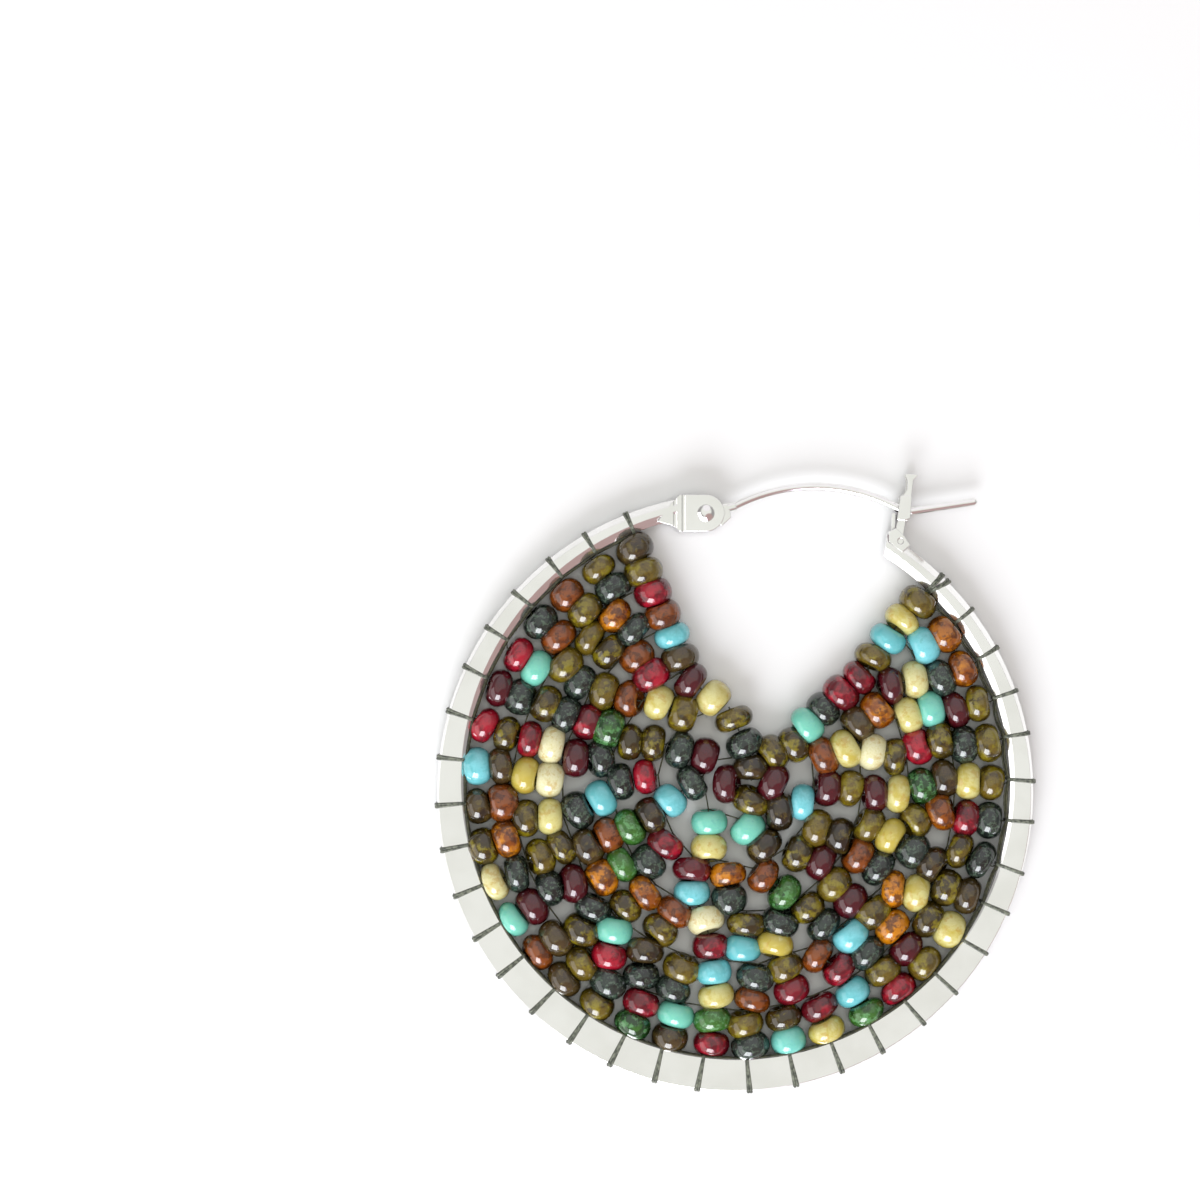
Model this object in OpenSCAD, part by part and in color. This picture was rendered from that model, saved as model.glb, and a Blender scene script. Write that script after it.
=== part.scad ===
// Beaded hoop earring: a flat crescent hoop with a woven field of seed beads inside it, and
// a hinged ear wire that clips into a fork. It lies on its back: +X to the wearer's left of
// the front face, +Y towards the ear wire, +Z out of the front face. Millimetres. The origin
// is on the surface that it lies on, under the middle of its outline.

/* [Hoop] */
// Outer diameter of the hoop
hoop_d = 53; // [51:0.5:55]
// Diameter of the round opening inside the hoop
bore_d = 48.3; // [47.8:0.1:48.8]
// How far the opening's centre sits above the hoop's, which makes the crescent
bore_rise = 0.58; // [0.4:0.02:0.7]
// Depth of the hoop from its front face to its back face
hoop_t = 2.2; // [2:0.1:2.4]
// How far the circle that flattens the outline's lower catch side sits towards the hinge
flat_shift = 0.3; // [0.2:0.02:0.4]
// How far that circle sits above the hoop's centre
flat_rise = 0.18; // [0.1:0.02:0.24]
// Where the opening ends at the catch, to the catch side of the hoop's centre
end_x = 13.02; // [12.9:0.02:13.1]
// How far the hoop's cut end leans away from the hinge
end_lean = 8.5; // [6:0.5:11]
// Where the hoop ends inside the hinge block, as an angle from +X
hinge_end = 101.5; // [101:0.5:103]

/* [Edges of the hoop] */
// Diameter of the flat front face's outer edge
face_d = 52.3; // [52:0.02:52.6]
// How far the face's outer edge sits towards the hinge side
face_shift = 0.18; // [0.1:0.02:0.24]
// How far the face's outer edge sits below the hoop's centre
face_drop = 0.22; // [0.1:0.02:0.26]
// Diameter of the flat front face's inner edge
lip_d = 48.94; // [48.9:0.02:49.1]
// How far the face's inner edge sits above the hoop's centre
lip_rise = 1; // [0.9:0.02:1.1]
// How far the face's inner edge sits towards the catch side
lip_shift = 0.08; // [0:0.02:0.12]
// Depth of the sloping inner wall
lip_depth = 0.5; // [0.3:0.1:0.8]
// Width of that wall over its whole depth
lip_width = 0.8; // [0.8:0.02:0.9]

/* [Bead field] */
// Diameter of a seed bead
bead_d = 3; // [2.9:0.05:3.1]
// Length of a seed bead along its hole
bead_pitch = 2.12; // [2.08:0.02:2.14]
// Gap between the bead field and the hoop's opening
rim_gap = 0.25; // [0.2:0.05:0.35]
// Direction of the notch's edge on the catch side, as an angle from +X
notch_right = 43.5; // [42:0.5:45]
// Direction of the notch's edge on the hinge side, as an angle from +X
notch_left = 113.5; // [113:0.5:115]

/* [Hinge] */
// Rivet's distance from the hoop's centre line, towards the hinge side
rivet_x = -2.74; // [-2.8:0.02:-2.7]
// Rivet's height above the hoop's centre
rivet_y = 24.73; // [24.7:0.01:24.8]
// Radius of the round end of the hinge cheeks
cheek_r = 1.62; // [1.55:0.01:1.65]
// Length of the hinge block behind the rivet
cheek_l = 2.36; // [2.2:0.02:2.5]
// Radius of the rivet
rivet_r = 0.4; // [0.38:0.01:0.42]
// Radius of the rivet's heads
head_r = 0.76; // [0.7:0.01:0.8]
// Height of the rivet's heads
head_h = 0.3; // [0.25:0.01:0.32]

/* [Ear wire] */
// Diameter of the ear wire
wire_d = 0.75; // [0.7:0.01:0.8]
// Radius of the flat eye on the rivet
eye_r = 1.15; // [1.05:0.01:1.2]
// Thickness of the flat eye
eye_t = 0.8; // [0.78:0.01:0.82]
// Direction of the neck as it leaves the rivet
neck_angle = 13.6; // [12:0.1:15]
// Length of the neck from the rivet to the wire's arc
neck_l = 2.63; // [2.5:0.01:2.7]
// Radius of the long arc, along the middle of the wire
arc_r = 15.35; // [15.2:0.05:15.5]
// Direction of the arc where it leaves the neck, above +X
arc_start = 27.6; // [27.4:0.1:27.8]
// Direction of the arc where the dip begins, below +X
arc_end = 30; // [29.8:0.1:30.2]
// Radius of the dip that sits in the fork, along the middle of the wire
dip_r = 1.2; // [1.1:0.05:1.3]
// Direction of the straight tail, above +X
tail_angle = 8.5; // [8:0.1:9]
// Length of the straight tail
tail_l = 5.7; // [5.2:0.1:6]
// Length of the tail's tapered root beside the fork
root_l = 1.1; // [0.8:0.1:1.3]

/* [Catch] */
// Foot of the fork, to the catch side of the hoop's centre
catch_x = 14.4; // [14.3:0.02:14.5]
// Foot of the fork, above the hoop's centre
catch_y = 22.79; // [22.7:0.01:22.9]
// How far the seat under the wire slopes down, away from the hinge
seat_slope = 12; // [11:0.5:13]
// Height of the seat, from the foot
seat_h = 1.7; // [1.6:0.01:1.74]
// Width of the seat along the wire
seat_w = 0.86; // [0.8:0.02:0.9]
// Height of the fork's tips, from the foot
tip_h = 5.42; // [5.3:0.02:5.5]
// Width of the slot that the wire clicks into
slot_w = 0.95; // [0.93:0.01:1]

/* [Hidden] */
$fn = 96;
// Overlap of shapes that are fused or cut
EPS = 0.05;

hoop_r = hoop_d / 2;
bore_r = bore_d / 2;
bead_r = bead_d / 2;
wire_r = wire_d / 2;

// The beads lie on the surface, and the hoop is held level with their middle
z_mid = bead_r;

// Outlines from the foot of the fork. The saddle is the broad end of the hoop that the fork
// stands on, the spur is beside its stem, and the stem carries a plate each side of the wire.
saddle = [[-0.98, -0.6], [-0.97, 0.33], [-0.34, 0.6], [0.4, -0.12], [0.88, -0.92], [0.2, -1.5]];
saddle_t = hoop_t + 0.1;
spur = [[-0.74, -0.3], [-0.44, -0.3], [-0.34, 1.9], [-0.42, 1.98], [-0.64, 1.95]];
spur_t = 1;
stem = [[-0.3, -0.6], [0.3, -0.6], [0.34, 0.2], [0.5, 1.2], [0.5, 1.6], [-0.05, 1.6], [-0.28, 0.9]];
stem_t = 1.7;
prong = [[-0.24, 1.36], [0.06, 3.42], [0.16, 3.5], [1, 3.46], [1.04, 3.36], [0.9, 1.46], [0.4, 1.3]];
seat_t = 0.35;
seat_inset = 0.1;

// A narrow tip with a spread cap on the top of each plate
tip = [
    [0.2, 3.36], [0.66, 4.05], [0.7, 4.9], [0.54, 5.2], [0.56, tip_h],
    [1.55, tip_h - 0.1], [1.5, 5.14], [1.17, 4.86], [1, 3.36],
];
tip_t = 0.5;

// The dimple in the hoop's end, from the foot of the fork
dimple_at = [0.05, -0.55];
dimple_r = 0.28;
dimple_depth = 0.12;

// The hoop's centre, from the middle of the whole outline, which runs from the bottom of the
// hoop to the top of the fork and across the hoop
catch_top = catch_y + tip_h;
hoop_x = flat_shift / 2;
hoop_y = (hoop_r - flat_rise - catch_top) / 2;

// The hinge's slot and bores
cheek_slot = eye_t + 0.1;
eye_gap = 0.26;
rivet_hole_r = rivet_r + 0.02;
eye_bore_r = rivet_r + 0.05;
groove_r = 0.22;
groove_depth = 0.1;
groove_x = [-0.35, -1.1];

// The straight that joins the block to the ring's narrow end, back from the block
flare_l = 1.9;
flare_rise = 0.3;
shoulder = 0.5;
top_l = 0.7;
top_drop = 0.25;

// A short sleeve joins two stretches of wire. It is this much larger than the wire, and each
// stretch ends this far short of the middle of its sleeve.
joint_swell = 0.015;
joint_l = 0.3;
joint_short = 0.03;

// Radii of the tail's root, beside the fork and where it meets the even part
root_r = [wire_r + 0.045, wire_r + 0.01];

// The neck's two steps, as [start, end, radius] from the rivet. The second runs a little past
// the start of the wire's arc.
neck_over = 0.12;
neck_steps = [
    [0.9, 2.05, 0.5],
    [2.05, neck_l + neck_over, 0.43],
];
// Outline of the stop below the neck, from the rivet along the neck
stop = [[0.9, -0.2], [2.15, -0.2], [2.1, -0.9], [1.15, -1.4], [0.9, -1.2]];

// Points along the ear wire, from the hoop's centre
arc_from = [
    rivet_x + neck_l * cos(neck_angle),
    rivet_y + neck_l * sin(neck_angle),
];
arc_c = arc_from + arc_r * [sin(arc_start), -cos(arc_start)];
arc_to = arc_c + arc_r * [sin(arc_end), cos(arc_end)];
dip_c = arc_to + dip_r * [sin(arc_end), cos(arc_end)];
tail_from = dip_c + dip_r * [sin(tail_angle), -cos(tail_angle)];

// Rows of the bead field, from the rim inwards. A stitch is a stack of two beads.
STACKS = 0; // stacks in the row
GAP_R = 1; // radius of the gap between neighbouring stacks
rows = [
    [34, 0.45],
    [28, 0.48],
    [21, 0.52],
    [14, 0.62],
    [7, 0.8],
];
beads_per_stack = 2;
line_count = beads_per_stack * len(rows) + 1;
field_r = bore_r - rim_gap;
field_span = 360 - (notch_left - notch_right);
// The last beads of the lines stand this far into the notch from the ends of the ridges,
// which turns back the ends by this angle, and they are this much slimmer than the ridges
edge_out = 0.5;
edge_back = asin(edge_out / line_r(0));
edge_slim = 0.04;
// The gaps sit a little outside the middle of a row's outer beads
gap_out = 0.35;

function line_r(i) = field_r - (i + 0.5) * bead_pitch;
function row_angle(row, i) = notch_left + field_span * i / (rows[row][STACKS] - 1);
function on_circle(r, a) = [r * cos(a), r * sin(a)];

// A shape drawn from the hoop's centre, in the middle of its depth
module from_hoop() {
    translate([hoop_x, hoop_y, z_mid])
        children();
}

// A flat outline cut to a thickness, centred on the hoop's depth
module plate(thickness) {
    translate([0, 0, -thickness / 2])
        linear_extrude(height = thickness)
            children();
}

// The front or back half of the ring's depth, with its sloping edges
module half_ring() {
    half = hoop_t / 2;
    difference() {
        intersection() {
            cylinder(r = hoop_r, h = half);
            translate([-flat_shift, flat_rise, -half])
                cylinder(r = hoop_r, h = 3 * half);
            translate([-face_shift, -face_drop, -half])
                cylinder(r1 = face_d / 2 + 2 * half, r2 = face_d / 2, h = 2 * half);
        }
        translate([0, bore_rise, -half])
            cylinder(r = bore_r, h = 3 * half);
        inner_bevel();
    }
}

// What the sloping inner wall takes away
module inner_bevel() {
    slope = lip_width / lip_depth;
    translate([lip_shift, lip_rise, hoop_t / 2 - lip_depth])
        cylinder(
            r1 = lip_d / 2 - lip_width,
            r2 = lip_d / 2 + slope * EPS,
            h = lip_depth + EPS
        );
}

// The ring, still closed at the top
module crescent() {
    for (side = [0, 1])
        mirror([0, 0, side])
            half_ring();
}

// The open wedge between the hinge and the catch, whose end is cut nearly upright
module hoop_gap() {
    far = 2 * hoop_r;
    end_y = bore_rise + sqrt(bore_r * bore_r - end_x * end_x);
    along = hoop_r / 4 * [sin(end_lean), cos(end_lean)];
    plate(3 * hoop_t)
        polygon([
            [0, 0],
            [end_x, end_y] - along,
            [end_x, end_y] + along,
            [end_x, far],
            on_circle(far, hinge_end),
        ]);
}

// Outline of the hinge block, from the narrow end of the ring to the round cheek
module cheek_outline() {
    block_x = rivet_x - cheek_l;
    flare_x = block_x - flare_l;
    top_x = block_x - top_l;
    translate([rivet_x, rivet_y])
        circle(r = cheek_r);
    translate([block_x, rivet_y - cheek_r])
        square([cheek_l, 2 * cheek_r]);
    polygon([
        [flare_x, bore_rise + sqrt(bore_r * bore_r - flare_x * flare_x) + flare_rise],
        [block_x - shoulder, rivet_y - cheek_r + shoulder],
        [block_x + EPS, rivet_y - cheek_r],
        [block_x + EPS, rivet_y + cheek_r],
        [top_x, sqrt(hoop_r * hoop_r - top_x * top_x) - top_drop],
    ]);
}

// Two cheeks with a slot for the eye, a hole for the rivet and two folds on the front
module hinge_block() {
    slot_x = rivet_x - eye_r - eye_gap;
    slot_l = eye_r + eye_gap + 2 * cheek_r;
    difference() {
        plate(hoop_t)
            cheek_outline();
        translate([slot_x, rivet_y - 3 * cheek_r, -cheek_slot / 2])
            cube([slot_l, 6 * cheek_r, cheek_slot]);
        translate([rivet_x, rivet_y, -hoop_t])
            cylinder(r = rivet_hole_r, h = 2 * hoop_t);
        for (dx = groove_x)
            translate([rivet_x + dx - cheek_r, rivet_y, hoop_t / 2 + groove_r - groove_depth])
                rotate([90, 0, 0])
                    cylinder(r = groove_r, h = 3 * cheek_r, center = true, $fn = 24);
    }
}

// A plate beside the wire with its tip, on the front
module fork_side() {
    half = hoop_t / 2;
    translate([0, 0, slot_w / 2])
        linear_extrude(height = half - slot_w / 2)
            polygon(prong);
    translate([0, 0, half - EPS - tip_t])
        linear_extrude(height = tip_t)
            polygon(tip);
}

// The fork: a stem with a seat for the wire and a plate each side of it
module fork() {
    plate(stem_t)
        polygon(stem);
    rotate([0, 0, -seat_slope])
        translate([-seat_w / 2, seat_h - seat_t])
            plate(hoop_t - 2 * seat_inset)
                square([seat_w, seat_t]);
    for (side = [0, 1])
        mirror([0, 0, side])
            fork_side();
}

// The hoop's broad end with the fork and the spur on it
module catch() {
    translate([catch_x, catch_y, 0]) {
        plate(saddle_t)
            polygon(saddle);
        plate(spur_t)
            polygon(spur);
        fork();
    }
}

// The crescent with its hinge cheeks and its fork, soldered into one
module hoop() {
    color("gainsboro")
        from_hoop()
            difference() {
                union() {
                    difference() {
                        crescent();
                        hoop_gap();
                    }
                    hinge_block();
                    catch();
                }
                translate([
                    catch_x + dimple_at[0],
                    catch_y + dimple_at[1],
                    saddle_t / 2 - dimple_depth
                ])
                    cylinder(r = dimple_r, h = hoop_t, $fn = 24);
            }
}

// One domed head of the rivet, on the front cheek
module rivet_head() {
    dome_r = (head_r * head_r + head_h * head_h) / (2 * head_h);
    intersection() {
        translate([0, 0, hoop_t / 2 + head_h - dome_r])
            sphere(r = dome_r);
        translate([0, 0, hoop_t / 2])
            cylinder(r = 2 * head_r, h = head_h + EPS);
    }
}

// The rivet through the cheeks and the eye
module hinge_pin() {
    color("silver")
        from_hoop()
            translate([rivet_x, rivet_y, 0]) {
                cylinder(r = rivet_r, h = hoop_t + 2 * EPS, center = true);
                rivet_head();
                mirror([0, 0, 1])
                    rivet_head();
            }
}

// A bent stretch of wire about a centre, from one angle to another, a little short at its ends
module wire_arc(centre, radius, from, to) {
    short = joint_short / radius * 180 / PI;
    translate([centre[0], centre[1], 0])
        rotate([0, 0, from + short])
            rotate_extrude(angle = to - from - 2 * short)
                translate([radius, 0])
                    circle(r = wire_r, $fn = 32);
}

// The sleeve where two stretches of the wire meet
module wire_joint(at, angle) {
    translate([at[0], at[1], 0])
        rotate([0, 0, angle])
            rotate([0, 90, 0])
                cylinder(r = wire_r + joint_swell, h = joint_l, center = true, $fn = 32);
}

// A straight stretch along +X turned to an angle, which may taper
module straight(at, angle, radius, length, end_radius = undef) {
    translate([at[0], at[1], 0])
        rotate([0, 0, angle])
            rotate([0, 90, 0])
                cylinder(
                    r1 = radius,
                    r2 = is_undef(end_radius) ? radius : end_radius,
                    h = length,
                    $fn = 32
                );
}

// The flat eye with its bore, and the neck that leaves it between the cheeks
module wire_eye() {
    intersection() {
        union() {
            translate([rivet_x, rivet_y, 0])
                cylinder(r = eye_r, h = eye_t, center = true);
            for (step = neck_steps)
                straight(
                    [
                        rivet_x + step[0] * cos(neck_angle),
                        rivet_y + step[0] * sin(neck_angle),
                    ],
                    neck_angle, step[2], step[1] - step[0]
                );
            translate([rivet_x, rivet_y, 0])
                rotate([0, 0, neck_angle])
                    plate(eye_t)
                        polygon(stop);
        }
        translate([rivet_x, rivet_y, 0])
            cylinder(r = 2 * neck_l, h = eye_t, center = true);
    }
}

// The wire from its eye on the rivet to the tip of its tail
module ear_wire() {
    tail_start = tail_from + joint_short * [cos(tail_angle), sin(tail_angle)];
    tail_to = tail_from + tail_l * [cos(tail_angle), sin(tail_angle)];
    color("silver")
        from_hoop()
            difference() {
                union() {
                    wire_eye();
                    wire_arc(arc_c, arc_r, 90 - arc_end, 90 + arc_start);
                    wire_joint(arc_to, -arc_end);
                    wire_arc(dip_c, dip_r, 270 - arc_end, 270 + tail_angle);
                    wire_joint(tail_from, tail_angle);
                    straight(tail_start, tail_angle, wire_r, tail_l - joint_short);
                    straight(tail_start, tail_angle, root_r[0], root_l - joint_short, root_r[1]);
                    translate([tail_to[0], tail_to[1], 0])
                        sphere(r = wire_r, $fn = 32);
                }
                translate([rivet_x, rivet_y, 0])
                    cylinder(r = eye_bore_r, h = 2 * eye_t, center = true);
            }
}

// Cut through the field from its centre out: one round ridge for each line of beads
module field_profile() {
    intersection() {
        for (i = [0 : line_count - 1])
            translate([line_r(i), 0])
                circle(r = bead_r, $fn = 48);
        translate([line_r(line_count - 1) - bead_pitch / 2, -bead_r])
            square([line_count * bead_pitch, bead_d]);
    }
}

// The ridges of beads all the way round from one edge of the notch to the other
module field_ridges() {
    rotate([0, 0, notch_left + edge_back])
        rotate_extrude(angle = field_span - 2 * edge_back)
            field_profile();
}

// The last bead of each line, down one edge of the notch. The notch lies towards +1 or -1.
module notch_beads(edge, into) {
    rotate([0, 0, edge - into * edge_back])
        for (i = [0 : line_count - 1])
            translate([line_r(i), into * edge_out, 0])
                rotate([0, 90, 0])
                    sphere(r = bead_r - edge_slim, $fn = 48);
}

// The gaps between neighbouring stacks of beads
module stack_gaps() {
    for (row = [0 : len(rows) - 1], i = [0 : rows[row][STACKS] - 2])
        rotate([0, 0, row_angle(row, i + 0.5)])
            translate([line_r(beads_per_stack * row) + gap_out, 0, 0])
                cylinder(r = rows[row][GAP_R], h = 2 * bead_d, center = true, $fn = 24);
}

// The woven field: ridges of beads with round beads down both edges of its notch, and a gap
// between each two stacks
module bead_panel() {
    color("saddlebrown")
        from_hoop()
            translate([0, bore_rise, 0])
                difference() {
                    union() {
                        field_ridges();
                        intersection() {
                            union() {
                                notch_beads(notch_left, -1);
                                notch_beads(notch_right, 1);
                            }
                            cylinder(r = field_r - edge_slim, h = 2 * bead_d, center = true);
                        }
                    }
                    stack_gaps();
                }
}

hoop();
hinge_pin();
ear_wire();
bead_panel();
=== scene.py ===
import math
import random

import bmesh
import bpy
from mathutils import Matrix, Vector


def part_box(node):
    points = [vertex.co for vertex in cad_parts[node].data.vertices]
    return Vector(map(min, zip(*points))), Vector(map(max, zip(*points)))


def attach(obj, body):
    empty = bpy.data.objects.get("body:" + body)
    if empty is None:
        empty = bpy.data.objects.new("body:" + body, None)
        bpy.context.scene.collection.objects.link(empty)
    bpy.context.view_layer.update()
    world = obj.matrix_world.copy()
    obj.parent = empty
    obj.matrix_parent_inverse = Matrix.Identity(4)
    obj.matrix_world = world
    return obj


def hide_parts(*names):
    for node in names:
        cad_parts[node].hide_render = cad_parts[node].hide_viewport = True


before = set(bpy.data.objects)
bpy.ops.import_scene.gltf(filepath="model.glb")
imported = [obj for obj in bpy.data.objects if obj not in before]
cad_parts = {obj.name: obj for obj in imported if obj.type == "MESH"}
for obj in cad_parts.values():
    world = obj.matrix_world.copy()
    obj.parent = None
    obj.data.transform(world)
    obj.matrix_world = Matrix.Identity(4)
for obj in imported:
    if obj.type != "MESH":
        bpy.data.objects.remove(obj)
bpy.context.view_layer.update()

# Sizes are in millimetres until a piece is finished
MM = 0.001
TURN = 2 * math.pi

# Places, read from the solids

HOOP_LOW, HOOP_HIGH = (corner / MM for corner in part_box("hoop"))
FIELD_LOW, FIELD_HIGH = (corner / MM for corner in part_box("bead_panel"))
# The ring's outline is a circle, and a second one of its size flattens its lower right
HOOP_R = 26.5
FLAT = Vector((-0.3, 0.18))
HOOP_C = Vector((HOOP_LOW.x + HOOP_R, HOOP_LOW.y + HOOP_R - FLAT.y))
FIELD_R = (FIELD_HIGH.x - FIELD_LOW.x) / 2
FIELD_C = Vector(((FIELD_LOW.x + FIELD_HIGH.x) / 2, FIELD_LOW.y + FIELD_R))
MIDDLE_Z = (HOOP_LOW.z + HOOP_HIGH.z) / 2
# From there to the ring's flat faces
HALF_DEPTH = 1.1

# The ring's edges: the opening, the inner and outer edges of its flat faces, and its two
# outlines, each as a centre from the hoop's centre and a radius
OPENING = (Vector((0, 0.58)), 24.15)
LIP = (Vector((0.08, 1.0)), 24.47)
FACE = (Vector((-0.18, -0.22)), 26.15)
OUTSIDE = (Vector((0, 0)), HOOP_R)
FLATTER = (FLAT, HOOP_R)
# How steeply the inner wall slopes: its depth over its width
LIP_SLOPE = 0.5 / 0.8

# The bead field

BEAD_L = 2.12
# Known fault: this was meant to be the radius of the rounded form below, which is 1.49. So the
# beads come out 15% too wide, lie 0.2 mm too low and cut into each other.
BEAD_R = 1.31
# From one line of beads to the next, and from a bead's middle to where its thread comes out
LINE_PITCH = BEAD_L + 0.02
HOLE_END = BEAD_L / 2 + 0.1
# How far the beads stand out of the solid field, towards the ring
SPREAD = 0.22
# Stacks of two beads in each row, from the rim inwards
ROWS = (34, 28, 21, 14, 7)
# Where the notch's two edges meet the rim, in degrees round the field from +X
NOTCH_LEFT = 113.5
NOTCH_RIGHT = 43.5 + 360
# The single beads in the middle of the field: the point they lie round, how far from it, and
# in which directions
FILL_C = Vector((1.6, 0.6))
FILL_R = 1.5
FILL_ANGLES = (75, 180, 270, 0)
# How near the circles that stand for two beads may come, and how far apart beads are let be.
# Both are made for beads of 3.0 mm
LOBE_GAP = 2.02
OUT_OF_TOUCH = 3.2
# Beads nearer than this lie side by side
BESIDE = 2.9

# Glasses: name, share of the beads
GLASSES = (
    ("olive", 28),
    ("moss", 13),
    ("umber", 9),
    ("garnet", 21),
    ("amber", 12),
    ("cream", 10),
    ("turquoise", 9),
    ("green", 4),
)


def smooth(low, high, value):
    """0 below low, 1 above high and an even bend between them"""
    t = min(1, max(0, (value - low) / (high - low)))
    return t * t * (3 - 2 * t)


def polar(radius, angle):
    """The point at a radius and an angle from a centre"""
    return Vector((radius * math.cos(angle), radius * math.sin(angle)))


def line_radius(line):
    """The radius of a line of beads, counted from the rim inwards"""
    return FIELD_R + SPREAD - (line + 0.5) * LINE_PITCH


def edge_angles(radius):
    """The notch's two edges at a radius. The left one swings across to its bottom."""
    left = NOTCH_LEFT - 2.13 * max(0, 10.4 - radius) ** 1.5
    right = NOTCH_RIGHT + 1.7 * smooth(17, 21, radius) - 1.5 * smooth(17, 14, radius)
    right -= 9 * smooth(9.5, 4, radius)
    return math.radians(left), math.radians(right)


def drawn_in(row, angle):
    """How far the thread draws a row of beads away from the ring, in its two upper arms"""
    turned = math.degrees(angle)
    hinge_side = 0.4 * smooth(175, 150, turned) - 0.25 * smooth(128, 116, turned)
    catch_side = 0.48 * smooth(300, 350, turned) - 0.3 * smooth(382, 400, turned)
    return (hinge_side + catch_side) * max(0, 1 - row / 2)


class Bead:
    """One bead lying on its side: its middle from the field's centre, the way its hole runs,
    and how firmly the thread holds it there"""

    def __init__(self, place, turn, hold):
        self.place = place
        self.target = place.copy()
        self.turn = turn
        self.hold = hold

    def lobes(self):
        """Three circles across the bead that stand for it. Its ends stick out of them"""
        across = polar(0.44, self.turn + TURN / 4)
        return (self.place - across, self.place, self.place + across)


def lay_beads(rng):
    """The rows of stacks, each a little out of line, as [[stack, stack, ...], ...]"""
    rows = []
    for row, count in enumerate(ROWS):
        stacks = []
        for i in range(count):
            share = i / (count - 1)
            at_edge = i in (0, count - 1)
            loose = 0.35 if row == 0 or at_edge else 1.0
            slip = rng.gauss(0, 0.22) * loose
            lean = rng.gauss(0, 0.26) * loose
            drop = rng.gauss(0, 0.16) * loose
            ends = []
            for k in (0, 1):
                radius = line_radius(2 * row + k)
                left, right = edge_angles(radius)
                angle = left + (right - left) * share
                along = Vector((-math.sin(angle), math.cos(angle)))
                side = slip + (k - 0.5) * 2 * lean
                inwards = drop + drawn_in(row, angle)
                ends.append(polar(radius - inwards, angle) + along * side)
            axis = ends[1] - ends[0]
            turn = math.atan2(axis.y, axis.x)
            hold = 0.25 if row == 0 or at_edge else 0.12
            stacks.append([
                Bead(end, turn + math.radians(rng.gauss(0, 5)), hold) for end in ends
            ])
        rows.append(stacks)
    middle = []
    for way in FILL_ANGLES:
        place = FILL_C + polar(FILL_R, math.radians(way))
        middle.append([Bead(place, math.radians(way + rng.gauss(0, 20)), 0.1)])
    rows.append(middle)
    return rows


def settle(beads, rounds=70):
    """Pushes beads apart whose circles overlap, and back from the ring. Overlaps are left"""
    near = [
        (a, b)
        for i, a in enumerate(beads)
        for b in beads[i + 1:]
        if (a.place - b.place).length < 5
    ]
    for _ in range(rounds):
        for bead in beads:
            bead.place += (bead.target - bead.place) * bead.hold * 0.3
        for a, b in near:
            if (a.place - b.place).length > OUT_OF_TOUCH:
                continue
            for p in a.lobes():
                for q in b.lobes():
                    apart = q - p
                    short = LOBE_GAP - apart.length
                    if short > 0:
                        push = apart.normalized() * short * 0.2
                        a.place -= push
                        b.place += push
                        p = p - push
        for bead in beads:
            angle = math.atan2(bead.place.y, bead.place.x) % TURN
            if angle < TURN / 4:
                angle += TURN
            limit = FIELD_R + SPREAD - BEAD_L / 2 - drawn_in(0, angle)
            if bead.place.length > limit:
                bead.place *= limit / bead.place.length


def sort_beads(beads, rng):
    """The beads of each glass, drawn in their shares. Like seldom lies beside like."""
    sorts = {name: [] for name, _ in GLASSES}
    for bead in beads:
        chances = []
        for name, share in GLASSES:
            beside = sum(
                (other.place - bead.place).length < BESIDE for other in sorts[name]
            )
            chances.append(share * 0.45 ** beside)
        drawn = rng.choices(list(sorts), chances)[0]
        sorts[drawn].append(bead)
    return sorts


def bead_form():
    """One drilled bead round +X: a closed profile turned in eight steps"""
    profile = [
        (-0.60, 0.42), (0.60, 0.42), (1.04, 0.58), (1.18, 0.96), (0.84, 1.48),
        (0, 1.74), (-0.84, 1.48), (-1.18, 0.96), (-1.04, 0.58),
    ]
    form = bmesh.new()
    points = [form.verts.new((x, 0, r)) for x, r in profile]
    for a, b in zip(points, points[1:] + points[:1]):
        form.edges.new((a, b))
    bmesh.ops.spin(
        form, geom=points + form.edges[:], axis=(1, 0, 0), cent=(0, 0, 0),
        steps=8, angle=TURN, use_merge=True,
    )
    bmesh.ops.remove_doubles(form, verts=form.verts, dist=0.001)
    bmesh.ops.recalc_face_normals(form, faces=form.faces)
    # Spin's order of parts changes from run to run, so they are put in order along a line
    line = Vector((1, 7.3, 41.9))
    form.verts.sort(key=lambda vert: vert.co.dot(line))
    form.edges.sort(key=lambda edge: (edge.verts[0].co + edge.verts[1].co).dot(line))
    form.faces.sort(key=lambda face: face.calc_center_median().dot(line))
    mesh = bpy.data.meshes.new("bead_form")
    form.to_mesh(mesh)
    form.free()
    return mesh


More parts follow.
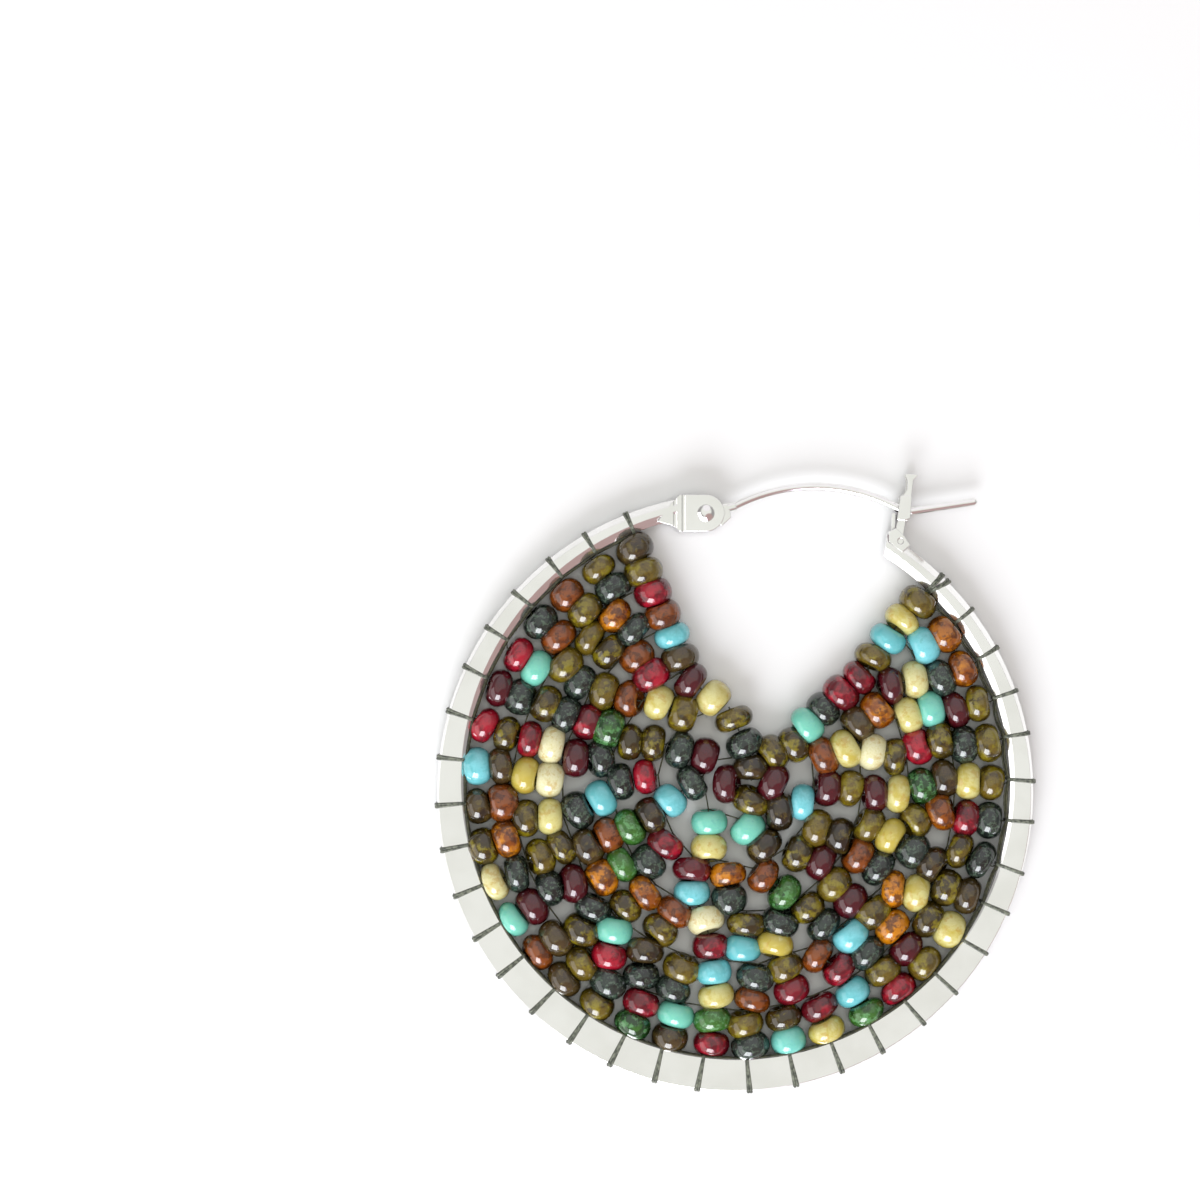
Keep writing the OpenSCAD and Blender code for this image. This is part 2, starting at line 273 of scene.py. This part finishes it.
def string_beads(name, beads, form, rng):
    """One piece of all the beads of a glass"""
    made = bmesh.new()
    tone = made.verts.layers.float.new("tone")
    crown = made.verts.layers.float.new("crown")
    for bead in beads:
        start = len(made.verts)
        made.from_mesh(form)
        made.verts.ensure_lookup_table()
        new = made.verts[start:]
        wedge = rng.gauss(0, 0.05)
        shade = rng.random()
        for vert in new:
            vert.co.x *= 1 + wedge * vert.co.y
            vert[tone] = shade
        width = rng.gauss(1.155, 0.03)
        length = rng.gauss(0.98, 0.06)
        lift = BEAD_R * width + rng.uniform(0, 0.2)
        place = FIELD_C + bead.place
        matrix = (
            Matrix.Translation((place.x, place.y, lift))
            @ Matrix.Rotation(bead.turn, 4, "Z")
            @ Matrix.Rotation(math.radians(rng.gauss(0, 7)), 4, "Y")
            @ Matrix.Rotation(rng.uniform(0, TURN / 8), 4, "X")
            @ Matrix.Diagonal((length, width, width, 1))
        )
        bmesh.ops.transform(made, matrix=matrix, verts=new)
        # Each point's height over its bead's middle, which the glass uses for the shade painted
        # down the bead's flanks
        for vert in new:
            vert[crown] = vert.co.z - lift
    piece = finish_mesh(name, made)
    rounding = piece.modifiers.new("rounding", "SUBSURF")
    rounding.levels = rounding.render_levels = 1
    return piece


def finish_mesh(name, made):
    """The bmesh as an object in metres, shaded smooth"""
    bmesh.ops.scale(made, vec=(MM, MM, MM), verts=made.verts)
    mesh = bpy.data.meshes.new(name)
    made.to_mesh(mesh)
    made.free()
    mesh.shade_smooth()
    piece = bpy.data.objects.new(name, mesh)
    bpy.context.scene.collection.objects.link(piece)
    return piece


# The thread

def reach(circle, angle):
    """How far from the opening's centre a line at an angle meets one of the ring's circles"""
    centre, radius = circle
    start = OPENING[0] - centre
    along = start.dot(polar(1, angle))
    return -along + math.sqrt(along * along - start.length_squared + radius * radius)


def threads(name, strands):
    """One piece of many strands, each as (points in millimetres, their radii, closed)"""
    line = bpy.data.curves.new(name, "CURVE")
    line.dimensions = "3D"
    line.bevel_depth = MM
    line.bevel_resolution = 1
    line.use_fill_caps = True
    for points, radii, closed in strands:
        spline = line.splines.new("POLY")
        spline.points.add(len(points) - 1)
        for knot, point, radius in zip(spline.points, points, radii):
            knot.co = (*(Vector(point) * MM), 1)
            knot.radius = radius
        spline.use_cyclic_u = closed
    route = bpy.data.objects.new(name + "_route", line)
    bpy.context.scene.collection.objects.link(route)
    mesh = bpy.data.meshes.new_from_object(
        route.evaluated_get(bpy.context.evaluated_depsgraph_get())
    )
    bpy.data.objects.remove(route)
    bpy.data.curves.remove(line)
    mesh.name = name
    mesh.shade_smooth()
    piece = bpy.data.objects.new(name, mesh)
    bpy.context.scene.collection.objects.link(piece)
    return piece


# Radii of the threads: a wrap's strand, a ply of the rim thread, and the threads in the field
STRAND_R = 0.125
RIM_PLY_R = 0.095
STITCH_R = 0.06
BRIDGE_R = 0.07
# The wraps go round the ring from the notch's left edge to its right one
WRAPS = 34
FIRST_WRAP = 112.1
LAST_WRAP = 405.8
WRAP_PITCH = (LAST_WRAP - FIRST_WRAP) / (WRAPS - 1)


def wrap_angles(rng):
    """Where the wraps lie, in radians, each a little out of its place"""
    return [
        math.radians(FIRST_WRAP + WRAP_PITCH * i + rng.gauss(0, 0.25)) for i in range(WRAPS)
    ]


def wrap(angle, inner, outer, slant):
    """A strand once round the ring's section, thickest at the outside. It sits to the side of
    the angle, by inner at the opening and by outer at the outside."""
    r = STRAND_R
    opening, lip, face = (reach(circle, angle) for circle in (OPENING, LIP, FACE))
    outside = min(reach(OUTSIDE, angle), reach(FLATTER, angle))
    lip = max(lip, opening + 0.02)
    top = HALF_DEPTH + r
    half_round = [
        (opening - r, 0.0),
        (opening - r, HALF_DEPTH - (lip - opening) * LIP_SLOPE - r * 0.5),
        (lip - r * 0.7, HALF_DEPTH + r * 0.5),
        (lip + r, top),
        (face - r, top),
        (face + r * 0.6, HALF_DEPTH + r * 0.7),
        (outside + r, HALF_DEPTH - (outside - face) - r * 0.2),
        (outside + r, 0.0),
    ]
    section = half_round + [(t, -z) for t, z in reversed(half_round[1:-1])]
    out = polar(1, angle)
    side = Vector((-out.y, out.x))
    points = []
    radii = []
    for t, z in section:
        share = (t - opening) / (outside - opening)
        offset = inner + (outer - inner) * share
        place = HOOP_C + OPENING[0] + out * t + side * (offset + slant * share)
        points.append((place.x, place.y, MIDDLE_Z + z))
        radii.append(r * (0.88 + 0.27 * smooth(0.8, 1, share)))
    return points, radii, True


def rim_wraps(angles, rng):
    """Two strands to a wrap, spread at the outside. The last wrap is tied off with four."""
    strands = []
    for i, angle in enumerate(angles):
        slant = rng.gauss(0, 0.1)
        spread = rng.uniform(0.10, 0.13) - 0.05 * smooth(280, 330, math.degrees(angle))
        pairs = [(-0.04, -spread), (0.04, spread)]
        if i == WRAPS - 1:
            pairs = [(-0.1, -0.1), (0.06, 0.12), (-0.2, -0.62), (-0.28, -0.85)]
        for inner, outer in pairs:
            strands.append(wrap(angle, inner, outer, slant))
    return strands


def rim_thread(angles, rng):
    """The thread along the opening's edge, drawn in a little between the wraps on the right"""
    strands = []
    for ply in (0, 1):
        points = []
        for a, b in zip(angles, angles[1:]):
            for k in range(5):
                angle = a + (b - a) * k / 5
                slack = 0.05 + 0.2 * smooth(math.radians(300), math.radians(380), angle)
                sag = slack * 4 * (k / 5) * (1 - k / 5) * (1 + 0.6 * ply)
                edge = reach(OPENING, angle)
                slope = max(0, min(0.8, reach(LIP, angle) - edge))
                place = HOOP_C + OPENING[0] + polar(edge - 0.07 - sag - 0.05 * ply, angle)
                wave = 0.03 * math.sin(angle * 31 + ply * 2)
                height = HALF_DEPTH - slope * LIP_SLOPE - 0.02 + wave - 0.16 * ply
                points.append((place.x, place.y, MIDDLE_Z + height))
        strands.append((points, [RIM_PLY_R] * len(points), False))
    return strands


def stitch_threads(rows, angles):
    """The thread inside each stack, and the bridges from each stack's inner end to the next"""

    def spot(flat, z):
        """A place in the field at a height"""
        place = FIELD_C + flat
        return (place.x, place.y, z)

    strands = []
    for row, stacks in enumerate(rows):
        for i, stack in enumerate(stacks):
            first, last = stack[0], stack[-1]
            out = polar(HOLE_END, first.turn + TURN / 2)
            back = polar(HOLE_END, last.turn)
            points = [spot(first.place + out, MIDDLE_Z + 0.2)]
            if row == 0:
                rim = polar(OPENING[1], angles[i])
                points.insert(0, spot(rim, MIDDLE_Z + HALF_DEPTH - 0.3))
            points += [spot(bead.place, MIDDLE_Z + 0.15) for bead in stack]
            points.append(spot(last.place + back, MIDDLE_Z + 0.15))
            strands.append((points, [STITCH_R] * len(points), False))
    for stacks in rows[:-1]:
        ends = [s[-1].place + polar(HOLE_END, s[-1].turn) for s in stacks]
        bridge = [spot(end, MIDDLE_Z + 0.25) for end in ends]
        strands.append((bridge, [BRIDGE_R] * len(bridge), False))
    return strands


# Materials

# Patterns are sized in millimetres, and places on a piece are in metres
PER_METRE = 1000


def tint(red, green, blue):
    """A colour of the screen, 0 to 255, as the shaders take it"""
    def line(part):
        part /= 255
        return part / 12.92 if part <= 0.04045 else ((part + 0.055) / 1.055) ** 2.4
    return (line(red), line(green), line(blue), 1)


class Field:
    """A number, colour or vector that varies over a surface. Sums of fields add Math nodes."""

    def __init__(self, shader, socket):
        self.shader = shader
        self.socket = socket

    def maths(self, operation, *terms):
        return self.shader.node(
            "ShaderNodeMath", {"operation": operation}, dict(enumerate(terms))
        )

    def __add__(self, other):
        return self.maths("ADD", self, other)

    def __radd__(self, other):
        return self.maths("ADD", other, self)

    def __sub__(self, other):
        return self.maths("SUBTRACT", self, other)

    def __rsub__(self, other):
        return self.maths("SUBTRACT", other, self)

    def __mul__(self, other):
        return self.maths("MULTIPLY", self, other)

    def __rmul__(self, other):
        return self.maths("MULTIPLY", other, self)


class Shader:
    """The nodes of one material or of the studio's surroundings"""

    def __init__(self, owner):
        owner.use_nodes = True
        self.tree = owner.node_tree
        self.tree.nodes.clear()

    def node(self, kind, settings=None, inputs=None, output=0):
        """A node of a kind, with its settings and the values or fields of its sockets"""
        made = self.tree.nodes.new(kind)
        for name, value in (settings or {}).items():
            setattr(made, name, value)
        for name, value in (inputs or {}).items():
            if isinstance(value, Field):
                self.tree.links.new(value.socket, made.inputs[name])
            else:
                made.inputs[name].default_value = value
        return Field(self, made.outputs[output]) if len(made.outputs) else made

    def place(self, scale=1.0, shift=None):
        """Where a point is on the piece, in metres times scale, shifted by a field"""
        spot = self.node("ShaderNodeTexCoord", output="Object")
        spot = self.node(
            "ShaderNodeVectorMath", {"operation": "SCALE"}, {0: spot, "Scale": scale}
        )
        if shift is None:
            return spot
        return self.node("ShaderNodeVectorMath", {"operation": "ADD"}, {0: spot, 1: shift})

    def noise(self, spot, scale, detail=3.0, roughness=0.5, warp=0.0):
        return self.node(
            "ShaderNodeTexNoise", {},
            {"Vector": spot, "Scale": scale, "Detail": detail, "Roughness": roughness,
             "Distortion": warp},
        )

    def step(self, field, low, high):
        """0 where the field is below low, 1 above high"""
        return self.node(
            "ShaderNodeMapRange", {"interpolation_type": "SMOOTHSTEP"},
            {"Value": field, "From Min": low, "From Max": high},
        )

    def mix(self, share, first, second, how="MIX"):
        return self.node(
            "ShaderNodeMix", {"data_type": "RGBA", "blend_type": how},
            {0: share, 6: first, 7: second}, 2,
        )

    def bump(self, height, strength, distance, under=None):
        """Bumps of a height, over the surface or over a normal that lies under them"""
        inputs = {"Height": height, "Strength": strength, "Distance": distance}
        if under is not None:
            inputs["Normal"] = under
        return self.node("ShaderNodeBump", {}, inputs)

    def surface(self, **sockets):
        """The finished surface. Socket names are written with _ for a space."""
        inputs = {name.replace("_", " "): value for name, value in sockets.items()}
        shade = self.node("ShaderNodeBsdfPrincipled", {}, inputs)
        self.node("ShaderNodeOutputMaterial", {}, {"Surface": shade})


def material(name):
    """A new material, and the nodes in it"""
    made = bpy.data.materials.new(name)
    return made, Shader(made)


def bead_glass(name, deep, clear, fleck, share, size, other=None, edge=0.6, shade_depth=0.5):
    """Glossy mottled glass: cloudy patches of a deep and a clear tone, with softer flecks of a
    third and fine dark grains. Every bead has its own mean tone, and where other is given about
    half of the beads lean towards it. Painted shade darkens each bead down its flanks, by
    shade_depth."""
    made, shader = material(name)
    tone = shader.node("ShaderNodeAttribute", {"attribute_name": "tone"}, output="Fac")
    # Each bead has its own part of the pattern
    shift = shader.node(
        "ShaderNodeCombineXYZ", {}, {0: tone * 37.0, 1: tone * 91.0, 2: tone * 53.0}
    )
    spot = shader.place(PER_METRE, shift)
    cloud = shader.noise(spot, 0.75, 4, 0.6, 0.4)
    colour = shader.mix(shader.step(cloud + (tone - 0.5) * 0.25, 0.38, 0.62), deep, clear)
    if other is not None:
        cycle = tone * 7.31
        lean = cycle - shader.node("ShaderNodeMath", {"operation": "FLOOR"}, {0: cycle})
        colour = shader.mix(shader.step(lean, 0.4, 0.6), colour, other)
    blotch = shader.noise(spot, size, 5, 0.62, 0.2)
    flecks = shader.step(blotch, 0.66 - share * 0.4, 0.78 - share * 0.4)
    colour = shader.mix(flecks * edge, colour, fleck)
    grain = shader.noise(spot, 5.5, 3, 0.7)
    colour = shader.mix(shader.step(grain, 0.46, 0.72) * 0.4, colour, deep)
    crown = shader.node("ShaderNodeAttribute", {"attribute_name": "crown"}, output="Fac")
    # Painted shade: below a bead's crown the colour is multiplied down towards a dark brown
    painted_flank_shade = (1 - shader.step(crown, 0.1, 1.3)) * shade_depth
    colour = shader.mix(painted_flank_shade, colour, tint(120, 108, 96), "MULTIPLY")
    shader.surface(
        Base_Color=colour,
        Roughness=0.07 + 0.10 * flecks,
        IOR=1.6,
        Coat_Weight=0.4,
        Coat_Roughness=0.03,
        Normal=shader.bump(cloud + 0.3 * blotch, 0.10, 0.00008),
    )
    return made


# Each glass's colours. shade_depth sets how much shade is painted down a bead's flanks.
BEAD_LOOKS = {
    "olive": dict(deep=tint(48, 38, 12), clear=tint(96, 80, 22), fleck=tint(128, 116, 20),
                  share=0.40, size=0.9, edge=0.75),
    "moss": dict(deep=tint(18, 24, 22), clear=tint(36, 46, 41), fleck=tint(80, 98, 82),
                 share=0.40, size=3.0, edge=0.7),
    "umber": dict(deep=tint(32, 24, 12), clear=tint(66, 52, 26), fleck=tint(98, 84, 32),
                  share=0.30, size=1.3, edge=0.6),
    "garnet": dict(deep=tint(86, 10, 22), clear=tint(155, 20, 41), fleck=tint(50, 6, 16),
                   share=0.35, size=1.2, other=tint(65, 11, 20), edge=0.6),
    "amber": dict(deep=tint(122, 62, 8), clear=tint(184, 115, 12), fleck=tint(62, 28, 8),
                  share=0.50, size=1.3, other=tint(118, 59, 16), edge=0.8),
    "cream": dict(deep=tint(178, 162, 72), clear=tint(194, 188, 122), fleck=tint(172, 132, 40),
                  share=0.35, size=1.3, other=tint(208, 204, 164), edge=0.5, shade_depth=0.4),
    "turquoise": dict(deep=tint(92, 171, 177), clear=tint(112, 190, 199), fleck=tint(80, 156, 148),
                      share=0.20, size=1.4, other=tint(108, 187, 165), edge=0.4, shade_depth=0.35),
    "green": dict(deep=tint(22, 54, 20), clear=tint(54, 100, 38), fleck=tint(98, 156, 98),
                  share=0.40, size=1.8, edge=0.6),
}


def silver():
    """Polished silver plate with faint cloudy tarnish, fine rubbing marks and worn edges. Painted
    shade turns its deepest corners a greyish mauve."""
    made, shader = material("polished_silver")
    spot = shader.place(PER_METRE)
    cloud = shader.noise(spot, 0.25, 3)
    rub = shader.noise(spot, 6, 4, 0.7)
    colour = shader.mix(shader.step(cloud, 0.35, 0.7), tint(251, 251, 249), tint(244, 244, 241))
    # Painted shade: where the occlusion finds little open air, in the deepest corners, the colour
    # turns a greyish mauve
    open_air = shader.node("ShaderNodeAmbientOcclusion", {"samples": 8}, {"Distance": 0.0006}, "AO")
    colour = shader.mix(shader.step(open_air, 0.3, 0.6), tint(140, 128, 132), colour)
    worn = shader.node("ShaderNodeBevel", {"samples": 6}, {"Radius": 0.00009})
    shader.surface(
        Base_Color=colour,
        Metallic=1.0,
        Roughness=0.08 + 0.04 * rub + 0.03 * cloud,
        Normal=shader.bump(rub, 0.02, 0.00003, worn),
    )
    return made


def thread(name, dark, light):
    """Waxed beading thread, darker in its twists"""
    made, shader = material(name)
    spot = shader.place(PER_METRE)
    twist = shader.noise(spot, 4, 3, 0.6)
    colour = shader.mix(shader.step(twist, 0.35, 0.65), dark, light)
    shader.surface(
        Base_Color=colour,
        Roughness=0.5,
        Normal=shader.bump(twist, 0.5, 0.00005),
    )
    return made


# Making it

def put_on(piece, look, slot, *stands_for):
    """Gives a piece its finish and its body, and hides the solids that it stands for"""
    piece.data.materials.clear()
    piece.data.materials.append(look)
    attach(piece, "ring")
    if stands_for:
        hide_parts(*stands_for)


def make_beads():
    rng = random.Random(41)
    rows = lay_beads(rng)
    beads = [bead for stacks in rows for stack in stacks for bead in stack]
    settle(beads)
    sorts = sort_beads(beads, random.Random(99))
    form = bead_form()
    for name in sorts:
        piece = string_beads("beads_" + name, sorts[name], form, rng)
        put_on(piece, bead_glass("glass_" + name, **BEAD_LOOKS[name]), "beads", "bead_panel")
    bpy.data.meshes.remove(form)
    return rows


def make_threads(rows):
    rng = random.Random(7)
    angles = wrap_angles(rng)
    grey = thread("waxed_thread", tint(58, 62, 54), tint(118, 122, 108))
    dark = thread("base_thread", tint(30, 32, 22), tint(70, 70, 48))
    put_on(threads("rim_wraps", rim_wraps(angles, rng)), grey, "thread")
    put_on(threads("rim_thread", rim_thread(angles, rng)), dark, "thread")
    put_on(threads("stitch_threads", stitch_threads(rows, angles)), dark, "thread")


def dress_metal():
    """The solids of metal are shown as they are, in silver"""
    plate = silver()
    for name in ("hoop", "hinge_pin", "ear_wire"):
        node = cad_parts[name]
        if not node.material_slots:
            node.data.materials.append(plate)
        for slot in node.material_slots:
            slot.material = plate


# The studio

# The picture's middle on the object, and how much of it the picture is wide
PICTURE_C = HOOP_C + Vector((-12.10, 17.05))
PICTURE_W = 106.0
LENS = 100.0
SENSOR = 36.0

# What the silver mirrors, as light rather than as colours of the screen
WALLS = (0.33, 0.32, 0.32, 1)
CEILING = (0.86, 0.865, 0.825, 1)
BACK_WALL = (0.95, 0.92, 0.95, 1)
SCREEN = (0.46, 0.32, 0.31, 1)
HORIZON = (1, 1, 1, 1)


def floor():
    """A wide white table top"""
    made = bmesh.new()
    bmesh.ops.create_grid(made, x_segments=1, y_segments=1, size=1500)
    table = finish_mesh("table_top", made)
    look, shader = material("table_white")
    cloud = shader.noise(shader.place(), 3, 2)
    shader.surface(
        Base_Color=shader.mix(cloud, tint(224, 224, 225), tint(227, 227, 228)),
        Roughness=0.9,
        Specular_IOR_Level=0.0,
    )
    table.data.materials.append(look)


def surroundings():
    """A pale ceiling and a paler wall behind the object, grey walls round it, a rosy screen in
    front to the right and a white horizon"""
    world = bpy.data.worlds.new("studio")
    bpy.context.scene.world = world
    shader = Shader(world)
    way = shader.node("ShaderNodeTexCoord", output="Generated")

    def towards(azimuth, elevation, widest, narrowest):
        """1 within an angle of a direction, fading to 0 at a wider one"""
        cosine = shader.node(
            "ShaderNodeVectorMath", {"operation": "DOT_PRODUCT"},
            {0: way, 1: sky_way(azimuth, elevation)}, "Value",
        )
        return shader.step(
            cosine, math.cos(math.radians(widest)), math.cos(math.radians(narrowest))
        )

    height = shader.node("ShaderNodeSeparateXYZ", {}, {0: way}, 2)
    colour = shader.mix(towards(170, 70, 58, 38), WALLS, CEILING)
    colour = shader.mix(towards(172, 38, 36, 26), colour, BACK_WALL)
    colour = shader.mix(towards(35, 42, 39, 29), colour, SCREEN)
    colour = shader.mix(1 - shader.step(height, 0.02, 0.17), colour, HORIZON)
    sky = shader.node("ShaderNodeBackground", {}, {"Color": colour, "Strength": 1.0})
    shader.node("ShaderNodeOutputWorld", {}, {"Surface": sky})


def sky_way(azimuth, elevation):
    """The direction at an azimuth, counted from the front to the right, and an elevation"""
    a, e = math.radians(azimuth), math.radians(elevation)
    return Vector((math.sin(a) * math.cos(e), -math.cos(a) * math.cos(e), math.sin(e)))


def soft_light(name, azimuth, elevation, away, wide, tall, radiance, colour):
    """A soft box that faces the object, with its width and height as angles seen from it"""
    lamp = bpy.data.lights.new(name, "AREA")
    lamp.shape = "RECTANGLE"
    lamp.size = 2 * away * math.tan(math.radians(wide / 2))
    lamp.size_y = 2 * away * math.tan(math.radians(tall / 2))
    lamp.energy = radiance * math.pi * lamp.size * lamp.size_y
    lamp.color = colour
    box = bpy.data.objects.new(name, lamp)
    bpy.context.scene.collection.objects.link(box)
    way = sky_way(azimuth, elevation)
    box.location = way * away
    box.rotation_euler = way.to_track_quat("Z", "Y").to_euler()
    return box


def camera():
    """Looks straight down, and sees PICTURE_W of the ring's top face"""
    lens = bpy.data.cameras.new("camera")
    lens.lens = LENS
    lens.sensor_width = SENSOR
    eye = bpy.data.objects.new("camera", lens)
    bpy.context.scene.collection.objects.link(eye)
    face_z = MIDDLE_Z + HALF_DEPTH
    away = PICTURE_W / SENSOR * LENS
    eye.location = Vector((PICTURE_C.x, PICTURE_C.y, face_z + away)) * MM
    lens.clip_start = 0.01
    lens.clip_end = 10
    bpy.context.scene.camera = eye


def studio():
    floor()
    surroundings()
    soft_light("window", -13, 32, 0.6, 29, 36, 9.8, (0.95, 0.98, 1.02))
    soft_light("side_pane", 8, 31, 0.6, 7, 27, 4.0, (0.9, 0.88, 1.1))
    soft_light("left_card", -62, 28, 0.6, 70, 34, 1.5, (1.0, 0.99, 1.0))
    fill = soft_light("overhead", 0, 90, 0.8, 26, 26, 3.1, (1.0, 1.03, 0.93))
    fill.visible_glossy = False
    camera()
    view = bpy.context.scene.view_settings
    view.view_transform = "Standard"
    view.look = "None"
    view.exposure = 0.0
    view.gamma = 1.0


rows = make_beads()
make_threads(rows)
dress_metal()
studio()

bpy.context.view_layer.update()
